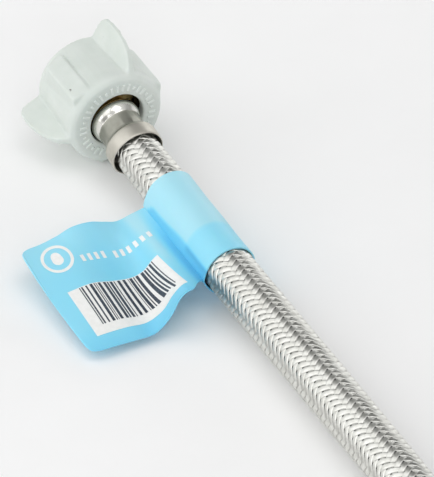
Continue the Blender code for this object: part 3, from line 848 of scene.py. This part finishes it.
def loop_mesh():
    """The label's sheet round the hose, drawn to a pinch where its two ends meet."""
    columns, sides = 36, 112
    points = []
    tones = []
    for column in range(columns + 1):
        x = lerp(LOOP_START, LOOP_END, column / columns)
        centre = route_height(x)
        fold = FOLD_Z + FOLD_SLOPE * (x - 0.5 * (LOOP_START + LOOP_END)) - centre
        fold_angle = math.atan2(fold, FOLD_Y)
        fold_reach = math.hypot(fold, FOLD_Y)
        skin = BRAID_RADIUS - squeeze(x) + LABEL_OFFSET
        for k in range(sides):
            share = abs(2.0 * k / sides - 1.0)
            pull = max(0.0, (share - 0.8) / 0.2) ** 1.6
            angle = fold_angle + math.tau * k / sides
            wrinkle = 0.05 * math.sin(3 * angle + 0.35 * x) * (1.0 - pull)
            radius = lerp(skin + wrinkle, fold_reach, pull)
            end = min(x - LOOP_START, LOOP_END - x)
            lip = LIP * (1.0 - smooth(end / 1.5)) * (1.0 - pull)
            for r in (radius, radius - LABEL_SHEET - lip):
                points.append(place(x, r * math.cos(angle), centre + r * math.sin(angle)))
                # Angle from the lit side's middle, for the wrap's painted light and shade
                turn = (LIT_SIDE_MIDDLE - math.degrees(angle) + 180.0) % 360.0 - 180.0
                tones.append(loop_print_and_shade(x, turn))
    faces = []
    ring = 2 * sides
    for column in range(columns):
        a = column * ring
        for k in range(sides):
            j = (k + 1) % sides
            for side in (0, 1):
                faces.append((a + 2 * k + side, a + 2 * j + side,
                              a + ring + 2 * j + side, a + ring + 2 * k + side))
    for a in (0, columns * ring):
        for k in range(sides):
            j = (k + 1) % sides
            faces.append((a + 2 * k, a + 2 * j, a + 2 * j + 1, a + 2 * k + 1))
    mesh = grid_mesh("loop", points, faces, 50.0)
    tone_attribute(mesh, tones)
    return mesh


def patch(points, faces, slots, outline, lift, finish):
    """A printed area as a fine grid; outline is a function from (u, v) to (x, y), and the
    number of cells each way."""
    place_at, across, along = outline
    base = len(points)
    for i in range(across + 1):
        for j in range(along + 1):
            x, y = place_at(i / across, j / along)
            points.append(place(*print_point(x, y, lift)))
    for i in range(across):
        for j in range(along):
            a = base + i * (along + 1) + j
            faces.append((a, a + 1, a + along + 2, a + along + 1))
            slots.append(finish)


INK = 0.03                      # how far each layer of ink stands over what it is on
RING = (60.9, -38.1)            # middle of the ring, as station and distance across
PANEL = (72.8, 90.2, -13.9, -41.2)
BARS = (-15.7, -38.0)           # where the bars begin and end, across
BAR_TOP = 73.0                  # and the stations that they reach
BAR_FOOT = 87.0
LONG_BAR_FOOT = 88.2
WHITE, BLACK = 0, 1             # the print's materials


def print_mesh():
    """Generic print: a ring with a drop in it, plain dashes, and a panel of plain bars."""
    points, faces, slots = [], [], []
    ink = FLAG_SKIN + INK

    def ring_at(radius_in, radius_out):
        return lambda u, v: (
            RING[0] + 1.08 * lerp(radius_in, radius_out, u) * math.cos(math.tau * v),
            RING[1] + 0.95 * lerp(radius_in, radius_out, u) * math.sin(math.tau * v))

    def drop(u, v):
        angle = math.tau * v
        reach = u * (1.7 + 1.3 * max(0.0, math.cos(angle)) ** 3)
        return RING[0] + 0.5 - reach * math.cos(angle), RING[1] + 0.9 * reach * math.sin(angle)

    def box(x0, x1, y0, y1):
        return lambda u, v: (lerp(x0, x1, u), lerp(y0, y1, v))

    patch(points, faces, slots, (ring_at(3.7, 4.6), 2, 64), ink, WHITE)
    patch(points, faces, slots, (drop, 4, 32), ink, WHITE)
    for count, start, x in ((4, -32.2, 62.4), (6, -22.6, 62.9)):
        for number in range(count):
            y = start + 2.05 * number
            patch(points, faces, slots, (box(x, x + 2.3, y, y + 1.0), 6, 3), ink, WHITE)
    patch(points, faces, slots, (box(*PANEL), 18, 90), ink, WHITE)
    random = np.random.default_rng(11)
    y = BARS[0]
    while y > BARS[1]:
        width, gap = random.choice([0.2, 0.3, 0.45, 0.8]), random.choice([0.3, 0.42, 0.8])
        foot = LONG_BAR_FOOT if random.random() < 0.12 else BAR_FOOT
        bar = box(BAR_TOP, foot, y, y - width)
        patch(points, faces, slots, (bar, 14, 1), ink + INK, BLACK)
        y -= width + gap
    mesh = bpy.data.meshes.new("print")
    mesh.from_pydata([tuple(p) for p in points], [], faces)
    mesh.polygons.foreach_set("material_index", slots)
    mesh.shade_smooth()
    mesh.update()
    return mesh


# ---------------------------------------------------------------- stage

def add_light(name, at, aim, size, power):
    """A soft rectangular lamp that the camera doesn't see, in metres and watts."""
    data = bpy.data.lights.new(name, "AREA")
    data.shape = "RECTANGLE"
    data.size, data.size_y = size
    data.energy = power
    made = bpy.data.objects.new(name, data)
    bpy.context.collection.objects.link(made)
    made.location = at
    made.rotation_mode = "QUATERNION"
    made.rotation_quaternion = (Vector(aim) - Vector(at)).to_track_quat("-Z", "Y")
    made.visible_camera = False


# The studio's grey from the horizon (0) to straight up (1)
STUDIO_GREYS = ((0.0, 1.0), (0.12, 0.95), (0.30, 0.45), (0.58, 0.50), (0.85, 0.85))
DARK_SIDE = (-0.69, 0.36, 0.62)     # where the studio is darker, which the metal mirrors


def add_stage(looks):
    """Pale floor, a grey studio round it and soft lights."""
    mesh = bpy.data.meshes.new("floor")
    reach, drop = 6.0, -0.0001
    mesh.from_pydata([(-reach, -reach, drop), (reach, -reach, drop), (reach, reach, drop),
                      (-reach, reach, drop)], [], [(0, 1, 2, 3)])
    mesh.materials.append(looks["floor"])
    floor = bpy.data.objects.new("floor", mesh)
    bpy.context.collection.objects.link(floor)

    world = bpy.data.worlds.new("studio")
    bpy.context.scene.world = world
    world.use_nodes = True
    tree = world.node_tree
    background = tree.nodes["Background"]
    direction = tree.nodes.new("ShaderNodeTexCoord")
    split = tree.nodes.new("ShaderNodeSeparateXYZ")
    ramp = tree.nodes.new("ShaderNodeValToRGB")
    tree.links.new(direction.outputs["Generated"], split.inputs[0])
    tree.links.new(split.outputs["Z"], ramp.inputs[0])
    tree.links.new(ramp.outputs[0], background.inputs["Color"])
    elements = ramp.color_ramp.elements
    while len(elements) < len(STUDIO_GREYS):
        elements.new(0.5)
    for element, (position, grey) in zip(elements, STUDIO_GREYS):
        element.position = position
        element.color = (grey, grey, grey, 1.0)
    shade = tree.nodes.new("ShaderNodeVectorMath")
    shade.operation = "DOT_PRODUCT"
    shade.inputs[1].default_value = Vector(DARK_SIDE).normalized()
    tree.links.new(direction.outputs["Generated"], shade.inputs[0])
    dim = tree.nodes.new("ShaderNodeMapRange")
    for socket, value in (("From Min", 0.78), ("From Max", 0.95),
                          ("To Min", 0.90), ("To Max", 0.14)):
        dim.inputs[socket].default_value = value
    tree.links.new(shade.outputs["Value"], dim.inputs[0])
    tree.links.new(dim.outputs[0], background.inputs["Strength"])

    add_light("key", (-0.40, -0.58, 0.78), (-0.05, 0, 0.01), (1.3, 1.0), 2.8)
    add_light("low", (-0.37, -0.80, 0.31), (-0.05, 0, 0.01), (0.8, 0.4), 1.0)
    add_light("fill", (0.65, -0.45, 0.60), (-0.02, 0, 0.01), (0.8, 0.6), 1.7)
    add_light("rim", (-0.60, 0.62, 0.24), (-0.05, 0, 0.01), (0.7, 0.3), 1.1)
    add_light("top", (0.10, 0.10, 0.95), (-0.03, 0, 0.0), (0.6, 0.6), 1.2)
    bpy.context.scene.view_settings.view_transform = "Standard"


# ---------------------------------------------------------------- build

# Looks of the frame's nodes that no piece replaces
NODE_LOOKS = {
    # The yarn layer's near-black look is painted shade in the braid's gaps
    "yarn_layer": "yarn", "inner_tube": "tube", "cone_washer": "rubber",
    # The slip ring's near-black look is painted shade inside the wing nut
    "compression_washer": "rubber", "slip_ring": "brass_as_shade", "ballcock_stem": "brass",
    "compression_stem": "brass",
}


def main():
    add_camera()
    looks = make_materials()

    mesh, path, length = braid_mesh()
    braid = add_object("braid", mesh, [looks["wire"]], "hose_line",
                       ["braid_sleeve"])
    fittings = [
        ferrule("ferrule_wing_end", NECK_RADIUS, on_stem, "ferrule_a", looks),
        ferrule("ferrule_hex_end", NECK_B_RADIUS, at_end_b, "ferrule_b", looks),
    ]

    mouth = place(0, NUT_A_Y, NUT_A_AXIS)

    def pad_ends(point):
        """Whether a point is at either end of the grip pads, which are well rounded."""
        x = (point.x - mouth.x) / MM
        reach = math.hypot(point.y - mouth.y, point.z - mouth.z) / MM
        return 12.4 < reach < 16.4 and (18.6 < x < 21.9 or x < 4.2)

    nut = refined("wing_nut_body", "ballcock_nut", voxel=0.27, passes=6,
                  thread=(mouth, *WING_THREAD), blend_region=pad_ends)
    add_object("wing_nut_body", nut, [looks["plastic"]], "wing_nut",
               ["ballcock_nut"])
    # The ribs' paler plastic is a painted highlight
    add_object("wing_nut_ribs", nut_ribs(), [looks["raised"]], "wing_nut", [])
    add_object("wing_nut_gate_mark", gate_mark(), [looks["speck"]], "wing_nut",
               [])
    hex_back = place(LENGTH - NUT_B_LENGTH, 0, AXIS_B)
    hexagon = refined("hex_nut_body", "compression_nut", voxel=0.16, passes=4,
                      thread=(hex_back, *HEX_THREAD))
    add_object("hex_nut_body", hexagon, [looks["nickel"]], "hex_nut",
               ["compression_nut"])

    add_object("label_wrap", loop_mesh(), [looks["film_loop"]], "hose_line",
               ["label_loop"])
    add_object("label_sheet", flag_mesh(), [looks["film"]], "label_wing",
               ["label_flag"])
    add_object("label_print", print_mesh(), [looks["white"], looks["black"]], "label_wing",
               [])

    for node, look in NODE_LOOKS.items():
        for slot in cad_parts[node].material_slots:
            slot.material = looks[look]
    add_stage(looks)


main()
